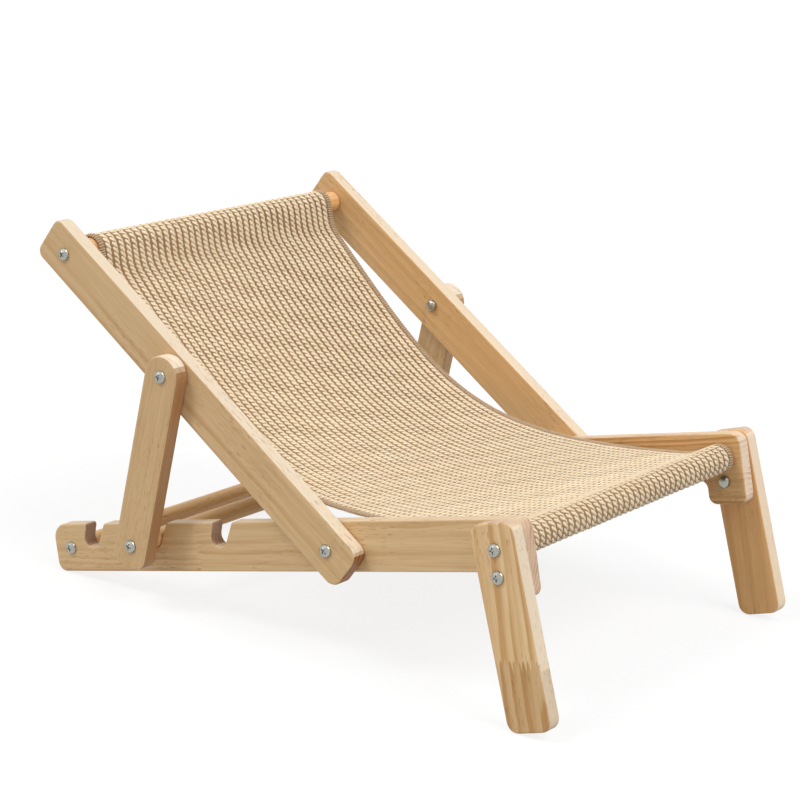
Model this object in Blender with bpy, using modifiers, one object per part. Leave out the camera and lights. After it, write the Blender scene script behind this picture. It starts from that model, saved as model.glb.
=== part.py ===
"""Reclining cat lounge chair: a pine frame with a woven sisal sling.

Two notched base rails lean on their rear corners and on two front legs. A backrest of two boards
turns on bolts through the rails, and a prop of two short boards and a dowel holds it up from the
middle pair of notches. One strip of sisal hangs from the top dowel to the front dowel.

Metres, +X to the front, +Y to the far side, +Z up. Every board is laid out in the rail frame:
x runs up along the rail from its rear end and z stands square to its bottom edge.
"""

import math

import bmesh
import bpy
from mathutils import Matrix

# Boards
BOARD_THICKNESS = 0.015
EDGE_ROUND = 0.0015
RAIL_LENGTH = 0.517
RAIL_HEIGHT = 0.044
RAIL_SPAN = 0.375
RAIL_REAR_TOP_CORNER = 0.014
RAIL_REAR_FOOT_CORNER = 0.009
RAIL_FRONT_CORNER = 0.011
LOBE_WIDTH = 0.0395
LOBE_DROP = 0.022
LOBE_CORNER = 0.008
LOBE_FILLET = 0.007
LEG_WIDTH = 0.0425
LEG_LENGTH = 0.173
LEG_SLANT = math.radians(4.0)
LEG_CORNER = 0.010
BACK_BOARD_WIDTH = 0.042
BACK_REACH = 0.363
BACK_TOP_OVERHANG = 0.0255
BACK_FOOT_OVERHANG = 0.027
BACK_TOP_CORNER = 0.008
BACK_FOOT_CORNER = 0.011
PROP_WIDTH = 0.036
PROP_LENGTH = 0.1613
PROP_FOOT_OVERHANG = 0.0205
PROP_FOOT_CORNER = 0.012
PROP_PIVOT_REACH = 0.210
PROP_PIVOT_RISE = 0.002

# Notches
NOTCH_FIRST = 0.0462
NOTCH_PITCH = 0.0754
NOTCH_COUNT = 3
NOTCH_IN_USE = 1
NOTCH_DEPTH = 0.0222
NOTCH_REAR_LEAN = math.radians(20.0)
NOTCH_FRONT_LEAN = math.radians(28.0)
NOTCH_LIP = 0.0028

# Dowels
FRONT_DOWEL_RADIUS = 0.010
TOP_DOWEL_RADIUS = 0.010
CROSSBAR_RADIUS = 0.008
PROP_DOWEL_RADIUS = 0.008
DOWEL_CHAMFER = 0.001
FRONT_DOWEL_SETBACK = 0.020
CROSSBAR_SETBACK = 0.0194
BACK_PIVOT_X = 0.326
DOWEL_BORE_DEPTH = 0.028

# Fasteners
SHANK_RADIUS = 0.0025
SCREW_POINT = 0.004
SCREW_BITE = 0.025
HEAD_RADIUS = 0.0058
HEAD_HEIGHT = 0.0030
HEAD_RIM = 0.0008
RECESS_ARM = 0.0029
RECESS_SLOT = 0.0012
RECESS_ROOT = 0.0011
RECESS_DEPTH = 0.0016
NUT_RADIUS = 0.0055
NUT_HEIGHT = 0.0050
NUT_RIM = 0.0022
NUT_BORE_DEPTH = 0.0034
NUT_REACH = 0.0031
LEG_BOLT_DROP = 0.0225

# Sisal sling
SLING_THICKNESS = 0.0035
HEM_REACH = 0.0265
HEM_TAIL = 0.006
TOP_HEM_DROP = math.radians(21.0)
FRONT_HEM_RISE = math.radians(6.5)
BACK_LEAVING = math.radians(9.5)
SEAT_LEAVING = math.radians(4.7)
BACK_HANDLE = 0.190
SEAT_HANDLE = 0.250
BACK_STRETCH_END = math.radians(123.0)
SEAT_STRETCH_END = math.radians(75.0)

# Clearances
SEAT_GAP = 0.0003
TURNING_GAP = 0.0005
BORE_GAP = 0.0003
LAYER_GAP = 0.0005
SLING_SIDE_GAP = 0.0025

# Facets
MERGE = 0.00001
ARC_STEP = math.radians(15.0)
DOWEL_SIDES = 32
BORE_SIDES = 12
TURNED_SIDES = 16
SLING_STEPS = 26
CROWN_STEPS = 4
EDGE_SEGMENTS = 2
FLAT_WITHIN = math.radians(1.0)
SMOOTH_BELOW = math.radians(35.0)
ROUND_ABOVE = math.radians(40.0)
HALF_TURN = math.pi
QUARTER_TURN = math.pi / 2

# Places in the rail frame
LAYER_PITCH = SLING_THICKNESS + LAYER_GAP
MID_HEIGHT = RAIL_HEIGHT / 2
LEG_TOP = MID_HEIGHT / math.cos(LEG_SLANT)
LEG_REACH = LEG_LENGTH - LEG_TOP
FRONT_DOWEL = (RAIL_LENGTH - FRONT_DOWEL_SETBACK, MID_HEIGHT)
CROSSBAR = (CROSSBAR_SETBACK, MID_HEIGHT)
BACK_PIVOT = (BACK_PIVOT_X, MID_HEIGHT)
NOTCH_RADIUS = PROP_DOWEL_RADIUS + BORE_GAP
NOTCH_CENTRE_Z = RAIL_HEIGHT - NOTCH_DEPTH + NOTCH_RADIUS
PROP_REST = (NOTCH_FIRST + NOTCH_IN_USE * NOTCH_PITCH, NOTCH_CENTRE_Z)
PROP_PIVOT = (PROP_PIVOT_REACH, -PROP_PIVOT_RISE)

# Planes across the chair, as distances from its middle
RAIL_OUT = RAIL_SPAN / 2
RAIL_IN = RAIL_OUT - BOARD_THICKNESS
LEG_IN = RAIL_OUT + SEAT_GAP
LEG_OUT = LEG_IN + BOARD_THICKNESS
BACK_IN = RAIL_OUT + TURNING_GAP
BACK_OUT = BACK_IN + BOARD_THICKNESS
PROP_IN = BACK_OUT + TURNING_GAP
PROP_OUT = PROP_IN + BOARD_THICKNESS
SLING_WIDTH = 2 * (RAIL_IN - SLING_SIDE_GAP)

SIDES = (("near", -1), ("far", 1))
WOOD = {"color": (0.66, 0.45, 0.26, 1), "roughness": 0.55, "metallic": 0.0}
ZINC = {"color": (0.62, 0.63, 0.62, 1), "roughness": 0.28, "metallic": 1.0}
SISAL = {"color": (0.62, 0.47, 0.31, 1), "roughness": 0.9, "metallic": 0.0}


def polar(centre, angle, radius):
    """The point at an angle and a distance from a centre."""
    return (centre[0] + radius * math.cos(angle), centre[1] + radius * math.sin(angle))


def arc(centre, radius, start, end):
    """Points along an arc, one about every ARC_STEP, both ends included."""
    steps = max(1, math.ceil(abs(end - start) / ARC_STEP - 1e-6))
    return [polar(centre, start + (end - start) * i / steps, radius) for i in range(steps + 1)]


def fillet(before, corner, after, radius):
    """The arc that rounds one corner of an outline."""
    to_before = math.atan2(before[1] - corner[1], before[0] - corner[0])
    to_after = math.atan2(after[1] - corner[1], after[0] - corner[0])
    opening = (to_after - to_before + HALF_TURN) % (2 * HALF_TURN) - HALF_TURN
    side = math.copysign(QUARTER_TURN, opening)
    centre = polar(corner, to_before + opening / 2, radius / math.sin(abs(opening) / 2))
    start = to_before - side
    return arc(centre, radius, start, start - side * 2 + opening)


def rounded(corners):
    """An outline from (x, z, radius) corners; a corner with no radius stays sharp."""
    points = []
    for i, (x, z, radius) in enumerate(corners):
        if radius:
            points += fillet(corners[i - 1], (x, z), corners[(i + 1) % len(corners)], radius)
        else:
            points.append((x, z))
    return [point for i, point in enumerate(points) if math.dist(point, points[i - 1]) > MERGE]


def link(objects_collection, obj):
    """Put an object in one collection only."""
    for collection in obj.users_collection:
        collection.objects.unlink(obj)
    objects_collection.objects.link(obj)


def material(name, look):
    """A plain Principled material."""
    made = bpy.data.materials.new(name)
    made.use_nodes = True
    shader = made.node_tree.nodes["Principled BSDF"]
    shader.inputs["Base Color"].default_value = look["color"]
    shader.inputs["Roughness"].default_value = look["roughness"]
    shader.inputs["Metallic"].default_value = look["metallic"]
    made.diffuse_color = look["color"]
    return made


def slab_mesh(name, outline, thickness):
    """A flat board mesh from a closed outline: x and z of the outline, y through the thickness."""
    curve = bpy.data.curves.new(name + "_outline", "CURVE")
    curve.dimensions = "2D"
    curve.fill_mode = "BOTH"
    curve.extrude = thickness / 2
    spline = curve.splines.new("POLY")
    spline.points.add(len(outline) - 1)
    for point, (x, z) in zip(spline.points, outline):
        point.co = (x, z, 0, 1)
    spline.use_cyclic_u = True
    drawing = bpy.data.objects.new(name + "_outline", curve)
    bpy.context.scene.collection.objects.link(drawing)
    evaluated = drawing.evaluated_get(bpy.context.evaluated_depsgraph_get())
    mesh = bpy.data.meshes.new_from_object(evaluated)
    bpy.data.objects.remove(drawing)
    bpy.data.curves.remove(curve)
    body = bmesh.new()
    body.from_mesh(mesh)
    bmesh.ops.remove_doubles(body, verts=body.verts, dist=MERGE)
    bmesh.ops.dissolve_limit(body, angle_limit=FLAT_WITHIN, verts=body.verts, edges=body.edges)
    body.transform(Matrix.Rotation(QUARTER_TURN, 4, "X"))
    bmesh.ops.recalc_face_normals(body, faces=body.faces)
    body.to_mesh(mesh)
    body.free()
    mesh.name = name
    return mesh


def smooth(mesh):
    """Smooth shading with hard edges kept."""
    mesh.shade_smooth()
    mesh.set_sharp_from_angle(angle=SMOOTH_BELOW)


def place(name, mesh, parent, x, y, z, look):
    """A named part under its parent, at a place in the parent's frame."""
    obj = bpy.data.objects.new(name, mesh)
    link(PARTS, obj)
    obj.parent = parent
    obj.location = (x, y, z)
    if not mesh.materials:
        mesh.materials.append(look)
    return obj


def frame_empty(name, parent, x, z, turn):
    """An empty that carries a body, turned about the Y axis so that its X axis rises by turn."""
    empty = bpy.data.objects.new(name, None)
    link(PARTS, empty)
    empty.parent = parent
    empty.location = (x, 0, z)
    empty.rotation_euler = (0, -turn, 0)
    return empty


def bore_cutter(name, part, spots, depth):
    """Round cutters along Y through a part, at (x, y, z) spots in its own frame."""
    drills = bmesh.new()
    for spot in spots:
        lay = Matrix.Translation(spot) @ Matrix.Rotation(QUARTER_TURN, 4, "X")
        bmesh.ops.create_cone(drills, cap_ends=True, segments=BORE_SIDES, depth=depth, matrix=lay,
                              radius1=SHANK_RADIUS + BORE_GAP, radius2=SHANK_RADIUS + BORE_GAP)
    mesh = bpy.data.meshes.new(name)
    drills.to_mesh(mesh)
    drills.free()
    cutter = bpy.data.objects.new(name, mesh)
    link(CUTTERS, cutter)
    cutter.parent = part
    cutter.hide_render = True
    cutter.display_type = "WIRE"
    cut = part.modifiers.new("bores", "BOOLEAN")
    cut.operation = "DIFFERENCE"
    cut.solver = "EXACT"
    cut.object = cutter


def board(name, mesh, parent, side, inner, holes):
    """One board of a pair: its inner face lies at inner from the middle, with bores at holes."""
    part = place(name, mesh, parent, 0, side * (inner + BOARD_THICKNESS / 2), 0, PINE)
    round_over = part.modifiers.new("rounded edges", "BEVEL")
    round_over.width = EDGE_ROUND
    round_over.segments = EDGE_SEGMENTS
    round_over.limit_method = "ANGLE"
    round_over.angle_limit = ROUND_ABOVE
    spots = [(x, 0, z) for x, z in holes]
    bore_cutter(name + "_bores", part, spots, BOARD_THICKNESS * 2)
    return part


def notch(centre_x):
    """A hooked notch in the rail's top edge, front lip first."""
    centre = (centre_x, NOTCH_CENTRE_Z)
    front_foot = polar(centre, -NOTCH_FRONT_LEAN, NOTCH_RADIUS)
    rear_foot = polar(centre, HALF_TURN - NOTCH_REAR_LEAN, NOTCH_RADIUS)
    front_rise = RAIL_HEIGHT - front_foot[1]
    rear_rise = RAIL_HEIGHT - rear_foot[1]
    front_lip = front_foot[0] + front_rise * math.tan(NOTCH_FRONT_LEAN)
    rear_lip = rear_foot[0] + rear_rise * math.tan(NOTCH_REAR_LEAN)
    bottom = arc(centre, NOTCH_RADIUS, -NOTCH_FRONT_LEAN, -HALF_TURN - NOTCH_REAR_LEAN)
    corners = [(front_lip, RAIL_HEIGHT, NOTCH_LIP)]
    corners += [(x, z, 0) for x, z in bottom]
    corners += [(rear_lip, RAIL_HEIGHT, NOTCH_LIP)]
    return corners


def rail_outline():
    """A base rail: rounded rear end, three notches, and a lobe under the front end."""
    lobe_rear = RAIL_LENGTH - LOBE_WIDTH
    corners = [
        (0, 0, RAIL_REAR_FOOT_CORNER),
        (lobe_rear, 0, LOBE_FILLET),
        (lobe_rear, -LOBE_DROP, LOBE_CORNER),
        (RAIL_LENGTH, -LOBE_DROP, LOBE_CORNER),
        (RAIL_LENGTH, RAIL_HEIGHT, RAIL_FRONT_CORNER),
    ]
    for i in reversed(range(NOTCH_COUNT)):
        corners += notch(NOTCH_FIRST + i * NOTCH_PITCH)
    corners.append((0, RAIL_HEIGHT, RAIL_REAR_TOP_CORNER))
    return rounded(corners)


def bar_outline(start, end, width, start_corner, end_corner):
    """A straight board along X with rounded corners."""
    half = width / 2
    return rounded([
        (start, -half, start_corner),
        (end, -half, end_corner),
        (end, half, end_corner),
        (start, half, start_corner),
    ])


def dowel(name, parent, spot, radius, reach):
    """A round bar across the chair between faces at reach, with a blind bore in each end."""
    length = 2 * (reach - SEAT_GAP)
    shape = bmesh.new()
    bmesh.ops.create_cone(shape, cap_ends=True, segments=DOWEL_SIDES, depth=length,
                          radius1=radius, radius2=radius, matrix=Matrix.Rotation(QUARTER_TURN, 4, "X"))
    mesh = bpy.data.meshes.new(name)
    shape.to_mesh(mesh)
    shape.free()
    smooth(mesh)
    bar = place(name, mesh, parent, spot[0], 0, spot[1], PINE)
    ease = bar.modifiers.new("eased ends", "BEVEL")
    ease.width = DOWEL_CHAMFER
    ease.segments = 1
    ease.limit_method = "ANGLE"
    ease.angle_limit = ROUND_ABOVE
    ends = [(0, side * length / 2, 0) for _, side in SIDES]
    bore_cutter(name + "_bores", bar, ends, DOWEL_BORE_DEPTH * 2)
    return bar


def turned(name, profile):
    """A round piece about Z from a profile of (radius, height) points, top to bottom."""
    mesh = bpy.data.meshes.new(name + "_profile")
    edges = [(i, i + 1) for i in range(len(profile) - 1)]
    mesh.from_pydata([(radius, 0, height) for radius, height in profile], edges, [])
    piece = bpy.data.objects.new(name, mesh)
    link(CUTTERS, piece)
    lathe = piece.modifiers.new("lathe", "SCREW")
    lathe.steps = TURNED_SIDES
    lathe.render_steps = TURNED_SIDES
    lathe.use_merge_vertices = True
    lathe.merge_threshold = MERGE
    return piece


def baked(piece):
    """The mesh of a finished piece, with the piece itself taken away."""
    bpy.context.view_layer.update()
    evaluated = piece.evaluated_get(bpy.context.evaluated_depsgraph_get())
    mesh = bpy.data.meshes.new_from_object(evaluated)
    mesh.name = piece.name
    smooth(mesh)
    bpy.data.objects.remove(piece)
    return mesh


def head_profile():
    """A pan head's crown, from its top to its rim, with its seat at height 0."""
    crown = HEAD_HEIGHT - HEAD_RIM
    points = []
    for i in range(CROWN_STEPS + 1):
        turn = QUARTER_TURN * i / CROWN_STEPS
        points.append((HEAD_RADIUS * math.sin(turn), HEAD_RIM + crown * math.cos(turn)))
    return points + [(HEAD_RADIUS, 0)]


def recess_cutter():
    """The cross-shaped driver recess, sunk into the top of a head."""
    middle = (0, 0)
    arm = math.hypot(RECESS_ARM, RECESS_SLOT / 2)
    spread = math.atan2(RECESS_SLOT / 2, RECESS_ARM)
    cross = []
    for quarter in range(4):
        heading = quarter * QUARTER_TURN
        cross.append(polar(middle, heading - spread, arm))
        cross.append(polar(middle, heading + spread, arm))
        cross.append(polar(middle, heading + QUARTER_TURN / 2, RECESS_ROOT))
    mesh = slab_mesh("recess", cross, RECESS_DEPTH * 2)
    mesh.transform(Matrix.Rotation(-QUARTER_TURN, 4, "X"))
    cutter = bpy.data.objects.new("driver_recess", mesh)
    link(CUTTERS, cutter)
    cutter.location.z = HEAD_HEIGHT
    cutter.hide_render = True
    cutter.display_type = "WIRE"
    return cutter


def fastener_mesh(name, grip, bite, pointed, recess):
    """A pan-head screw or bolt about Z: head up, its seat at height 0, grip and bite below it."""
    length = grip + 2 * SEAT_GAP + bite
    profile = head_profile() + [(SHANK_RADIUS, 0)]
    if pointed:
        profile += [(SHANK_RADIUS, SCREW_POINT - length), (0, -length)]
    else:
        profile += [(SHANK_RADIUS, -length), (0, -length)]
    piece = turned(name, profile)
    cut = piece.modifiers.new("driver recess", "BOOLEAN")
    cut.operation = "DIFFERENCE"
    cut.solver = "EXACT"
    cut.object = recess
    return baked(piece)


def nut_mesh():
    """A domed cap nut about Z, its seat at height 0 and its blind bore open downwards."""
    dome = NUT_HEIGHT - NUT_RIM
    bore = SHANK_RADIUS + BORE_GAP
    profile = []
    for i in range(CROWN_STEPS + 1):
        turn = QUARTER_TURN * i / CROWN_STEPS
        profile.append((NUT_RADIUS * math.sin(turn), NUT_RIM + dome * math.cos(turn)))
    profile += [(NUT_RADIUS, 0), (bore, 0), (bore, NUT_BORE_DEPTH), (0, NUT_BORE_DEPTH)]
    return baked(turned("cap_nut", profile))


def fasten(name, mesh, parent, spot, side, seat, outward):
    """A screw, bolt or nut on one side: its seat at a distance from the middle, facing in or out."""
    stand = side * (seat + outward * SEAT_GAP)
    part = place(name, mesh, parent, spot[0], stand, spot[1], STEEL)
    part.rotation_euler.x = -side * outward * QUARTER_TURN
    return part


def bezier(start, start_handle, end_handle, end, t):
    """A point on a cubic Bezier curve."""
    weights = ((1 - t) ** 3, 3 * t * (1 - t) ** 2, 3 * t * t * (1 - t), t ** 3)
    knots = (start, start_handle, end_handle, end)
    return tuple(sum(w * k[axis] for w, k in zip(weights, knots)) for axis in (0, 1))


def hem_path(dowel_centre, dowel_radius, pull, leave, sense):
    """The strip's middle line from the hem's tail, round the dowel, to the stitched line.

    pull is the direction from the dowel to the stitching, and leave that of the strip beyond it.
    sense is 1 where the strip passes round the dowel against the clock and -1 with it.
    """
    radius = dowel_radius + SEAT_GAP + SLING_THICKNESS / 2
    reach = math.hypot(HEM_REACH, LAYER_PITCH / 2)
    free = math.acos(radius / reach) + math.atan2(LAYER_PITCH / 2, HEM_REACH)
    stitches = polar(dowel_centre, pull, HEM_REACH)
    tail_foot = polar(stitches, pull + sense * QUARTER_TURN, LAYER_PITCH / 2)
    tail = polar(tail_foot, leave, HEM_TAIL)
    wrap = arc(dowel_centre, radius, pull + sense * free, pull + sense * (2 * HALF_TURN - free))
    stitched = polar(stitches, pull - sense * QUARTER_TURN, LAYER_PITCH / 2)
    return [tail, tail_foot] + wrap + [stitched]


def strip_outline(path):
    """The outline of a strip of the sling's thickness along a middle line."""
    left, right = [], []
    for i, point in enumerate(path):
        before = path[max(i - 1, 0)]
        after = path[min(i + 1, len(path) - 1)]
        heading = math.atan2(after[1] - before[1], after[0] - before[0])
        left.append(polar(point, heading + QUARTER_TURN, SLING_THICKNESS / 2))
        right.append(polar(point, heading - QUARTER_TURN, SLING_THICKNESS / 2))
    return left + right[::-1]


def pivot_angle(point):
    """Where a point lies about the backrest's pivot, as an angle from the rail's direction."""
    return math.atan2(point[1] - BACK_PIVOT[1], point[0] - BACK_PIVOT[0])


def trimmed(points, gap):
    """A line shortened by a gap at both ends."""
    ends = []
    for end, inner in ((points[0], points[1]), (points[-1], points[-2])):
        share = gap / math.dist(end, inner)
        ends.append(tuple(a + share * (b - a) for a, b in zip(end, inner)))
    return [ends[0]] + points[1:-1] + [ends[1]]


def stretch(route, first, last):
    """The stretch of the back-to-front route between two angles about the backrest's pivot."""
    points = []
    for before, after in zip(route, route[1:]):
        from_angle, to_angle = pivot_angle(before), pivot_angle(after)
        for cut in (first, last):
            if from_angle > cut >= to_angle:
                share = (from_angle - cut) / (from_angle - to_angle)
                points.append(tuple(a + share * (b - a) for a, b in zip(before, after)))
        if first > to_angle > last:
            points.append(after)
    return points


def in_frame(points, origin, turn):
    """Rail-frame points in the frame of a body whose X axis rises by turn."""
    local = []
    for x, z in points:
        dx, dz = x - origin[0], z - origin[1]
        local.append((dx * math.cos(turn) + dz * math.sin(turn), dz * math.cos(turn) - dx * math.sin(turn)))
    return local


def back_rise():
    """The angle of the backrest's boards in the rail frame, set by the prop in its notch."""
    to_notch = (PROP_REST[0] - BACK_PIVOT[0], PROP_REST[1] - BACK_PIVOT[1])
    span = math.hypot(*to_notch)
    reach = math.hypot(*PROP_PIVOT)
    cosine = (reach ** 2 + span ** 2 - PROP_LENGTH ** 2) / (2 * reach * span)
    pivot_direction = math.atan2(to_notch[1], to_notch[0]) - math.acos(cosine)
    return pivot_direction - math.atan2(PROP_PIVOT[1], PROP_PIVOT[0])


def floor_tilt():
    """How far the rails rise to the front when the rear corners and the legs stand on the floor."""
    rear = (RAIL_REAR_FOOT_CORNER, RAIL_REAR_FOOT_CORNER)
    down = -QUARTER_TURN + LEG_SLANT
    foot = polar(FRONT_DOWEL, down, LEG_REACH - LEG_CORNER)
    foot = polar(foot, HALF_TURN + LEG_SLANT, LEG_WIDTH / 2 - LEG_CORNER)
    run = math.hypot(foot[0] - rear[0], foot[1] - rear[1])
    fall = math.atan2(rear[1] - foot[1], foot[0] - rear[0])
    return fall + math.asin((LEG_CORNER - RAIL_REAR_FOOT_CORNER) / run)


def build_base(chair):
    """Rails, front legs, front dowel, rear crossbar and what fastens them."""
    rail_mesh = slab_mesh("rail", rail_outline(), BOARD_THICKNESS)
    leg_line = bar_outline(-LEG_TOP, LEG_REACH, LEG_WIDTH, LEG_CORNER, LEG_CORNER)
    leg_mesh = slab_mesh("front_leg", leg_line, BOARD_THICKNESS)
    leg_bolt = (FRONT_DOWEL[0], FRONT_DOWEL[1] - LEG_BOLT_DROP)
    leg_turn = LEG_SLANT - QUARTER_TURN
    leg_axis = frame_empty("leg_axis", chair, *FRONT_DOWEL, leg_turn)
    leg_holes = in_frame((FRONT_DOWEL, leg_bolt), FRONT_DOWEL, leg_turn)
    dowel("front_dowel", chair, FRONT_DOWEL, FRONT_DOWEL_RADIUS, RAIL_IN)
    dowel("rear_crossbar", chair, CROSSBAR, CROSSBAR_RADIUS, RAIL_IN)
    for word, side in SIDES:
        board(word + "_rail", rail_mesh, chair, side, RAIL_IN, (CROSSBAR, BACK_PIVOT, FRONT_DOWEL, leg_bolt))
        board(word + "_front_leg", leg_mesh, leg_axis, side, LEG_IN, leg_holes)
        fasten(word + "_leg_screw", LEG_SCREW, chair, FRONT_DOWEL, side, LEG_OUT, 1)
        fasten(word + "_leg_bolt", LEG_BOLT, chair, leg_bolt, side, LEG_OUT, 1)
        fasten(word + "_leg_nut", CAP_NUT, chair, leg_bolt, side, RAIL_IN, -1)
        fasten(word + "_crossbar_screw", DOWEL_SCREW, chair, CROSSBAR, side, RAIL_OUT, 1)


def build_backrest(chair, rise):
    """Back boards, top dowel, pivot bolts and what fastens them."""
    axis = frame_empty("backrest_axis", chair, *BACK_PIVOT, rise)
    line = bar_outline(-BACK_FOOT_OVERHANG, BACK_REACH + BACK_TOP_OVERHANG, BACK_BOARD_WIDTH,
                       BACK_FOOT_CORNER, BACK_TOP_CORNER)
    mesh = slab_mesh("back_board", line, BOARD_THICKNESS)
    top = (BACK_REACH, 0)
    dowel("top_dowel", axis, top, TOP_DOWEL_RADIUS, BACK_IN)
    for word, side in SIDES:
        board(word + "_back_board", mesh, axis, side, BACK_IN, ((0, 0), PROP_PIVOT, top))
        fasten(word + "_top_screw", DOWEL_SCREW, axis, top, side, BACK_OUT, 1)
        fasten(word + "_pivot_bolt", PIVOT_BOLT, axis, (0, 0), side, BACK_OUT, 1)
        fasten(word + "_pivot_nut", CAP_NUT, axis, (0, 0), side, RAIL_IN, -1)
    return axis


def build_prop(backrest, rise):
    """Prop boards, prop dowel, prop bolts and what fastens them."""
    on_middle = polar(BACK_PIVOT, rise, PROP_PIVOT[0])
    pivot = polar(on_middle, rise + QUARTER_TURN, PROP_PIVOT[1])
    hang = math.atan2(PROP_REST[1] - pivot[1], PROP_REST[0] - pivot[0])
    axis = frame_empty("prop_axis", backrest, *PROP_PIVOT, hang - rise)
    line = bar_outline(-PROP_WIDTH / 2, PROP_LENGTH + PROP_FOOT_OVERHANG, PROP_WIDTH,
                       PROP_WIDTH / 2, PROP_FOOT_CORNER)
    mesh = slab_mesh("prop", line, BOARD_THICKNESS)
    foot = (PROP_LENGTH, 0)
    dowel("prop_dowel", axis, foot, PROP_DOWEL_RADIUS, PROP_IN)
    for word, side in SIDES:
        board(word + "_prop", mesh, axis, side, PROP_IN, ((0, 0), foot))
        fasten(word + "_prop_screw", DOWEL_SCREW, axis, foot, side, PROP_OUT, 1)
        fasten(word + "_prop_bolt", PROP_BOLT, axis, (0, 0), side, PROP_OUT, 1)
        fasten(word + "_prop_nut", CAP_NUT, axis, (0, 0), side, BACK_IN, -1)


def sling_stretch(name, parent, path):
    """One stretch of the sling as a bent sheet across the chair."""
    mesh = slab_mesh(name, path, SLING_WIDTH)
    smooth(mesh)
    place(name, mesh, parent, 0, 0, 0, WEAVE)


def build_sling(chair, backrest, rise):
    """The sisal strip: its back on the backrest, its seat on the base and the fold between them."""
    top_dowel = polar(BACK_PIVOT, rise, BACK_REACH)
    top_pull = rise + HALF_TURN - TOP_HEM_DROP
    top_leave = rise + HALF_TURN - BACK_LEAVING
    front_pull = HALF_TURN - FRONT_HEM_RISE
    front_leave = HALF_TURN - SEAT_LEAVING
    back_hem = hem_path(top_dowel, TOP_DOWEL_RADIUS, top_pull, top_leave, -1)
    seat_hem = hem_path(FRONT_DOWEL, FRONT_DOWEL_RADIUS, front_pull, front_leave, 1)
    start, end = back_hem[-1], seat_hem[-1]
    start_handle = polar(start, top_leave, BACK_HANDLE)
    end_handle = polar(end, front_leave, SEAT_HANDLE)
    route = [bezier(start, start_handle, end_handle, end, i / SLING_STEPS) for i in range(SLING_STEPS + 1)]
    back_run = stretch(route, HALF_TURN, BACK_STRETCH_END)
    fold_run = trimmed(stretch(route, BACK_STRETCH_END, SEAT_STRETCH_END), SEAT_GAP)
    seat_run = stretch(route, SEAT_STRETCH_END, -HALF_TURN)
    back_line = strip_outline(back_hem + back_run)
    sling_stretch("sling_back", backrest, in_frame(back_line, BACK_PIVOT, rise))
    sling_stretch("sling_fold", chair, strip_outline(fold_run))
    sling_stretch("sling_seat", chair, strip_outline(seat_hem + seat_run[-2::-1]))


def stand_on_floor(chair):
    """Centre the chair over the origin with its lowest points on the floor."""
    bpy.context.view_layer.update()
    depsgraph = bpy.context.evaluated_depsgraph_get()
    corners = []
    for obj in PARTS.objects:
        if obj.type == "MESH":
            shape = obj.evaluated_get(depsgraph)
            corners += [obj.matrix_world @ vertex.co for vertex in shape.data.vertices]
    low = [min(corner[axis] for corner in corners) for axis in range(3)]
    high = [max(corner[axis] for corner in corners) for axis in range(3)]
    chair.location.x -= (low[0] + high[0]) / 2
    chair.location.z -= low[2]


def collection(name):
    """A new collection in the scene."""
    made = bpy.data.collections.new(name)
    bpy.context.scene.collection.children.link(made)
    return made


for old in list(bpy.data.objects):
    bpy.data.objects.remove(old)

PARTS = collection("cat_lounge_chair")
CUTTERS = collection("cutters")
PINE = material("pine", WOOD)
STEEL = material("zinc_plated_steel", ZINC)
WEAVE = material("sisal_weave", SISAL)

RECESS = recess_cutter()
DOWEL_SCREW = fastener_mesh("dowel_screw", BOARD_THICKNESS, SCREW_BITE, True, RECESS)
LEG_SCREW = fastener_mesh("leg_screw", LEG_OUT - RAIL_IN, SCREW_BITE, True, RECESS)
LEG_BOLT = fastener_mesh("leg_bolt", LEG_OUT - RAIL_IN, NUT_REACH, False, RECESS)
PIVOT_BOLT = fastener_mesh("pivot_bolt", BACK_OUT - RAIL_IN, NUT_REACH, False, RECESS)
PROP_BOLT = fastener_mesh("prop_bolt", PROP_OUT - BACK_IN, NUT_REACH, False, RECESS)
CAP_NUT = nut_mesh()

CHAIR = frame_empty("chair", None, 0, 0, floor_tilt())
RISE = back_rise()
build_base(CHAIR)
BACKREST = build_backrest(CHAIR, RISE)
build_prop(BACKREST, RISE)
build_sling(CHAIR, BACKREST, RISE)
stand_on_floor(CHAIR)
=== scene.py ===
import math

import bpy
import numpy as np
from mathutils import Euler, Matrix, Vector


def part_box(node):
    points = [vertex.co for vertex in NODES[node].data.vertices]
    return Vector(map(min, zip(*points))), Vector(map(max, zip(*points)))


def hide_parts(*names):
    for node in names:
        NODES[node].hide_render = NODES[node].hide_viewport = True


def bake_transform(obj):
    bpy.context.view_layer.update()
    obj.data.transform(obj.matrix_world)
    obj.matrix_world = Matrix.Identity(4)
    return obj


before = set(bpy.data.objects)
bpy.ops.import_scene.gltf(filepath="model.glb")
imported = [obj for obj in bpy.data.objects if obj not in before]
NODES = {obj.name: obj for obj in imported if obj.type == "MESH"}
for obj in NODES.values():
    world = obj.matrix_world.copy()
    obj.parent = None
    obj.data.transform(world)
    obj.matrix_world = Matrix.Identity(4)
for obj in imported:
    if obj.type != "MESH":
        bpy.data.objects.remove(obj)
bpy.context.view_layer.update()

# The camera, fitted to the photograph: metres along the rail and square to it from the rear crossbar,
# metres to the side, degrees and millimetres of lens.
CAMERA_ALONG = 1.65107
CAMERA_SQUARE = 0.38079
CAMERA_SIDE = -1.8595
CAMERA_AZIMUTH = 34.49
CAMERA_PITCH = -15.78
CAMERA_ROLL = 4.43
CAMERA_LENS = 116.54
CAMERA_REACH = 100.0
SENSOR = 36.0

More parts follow.
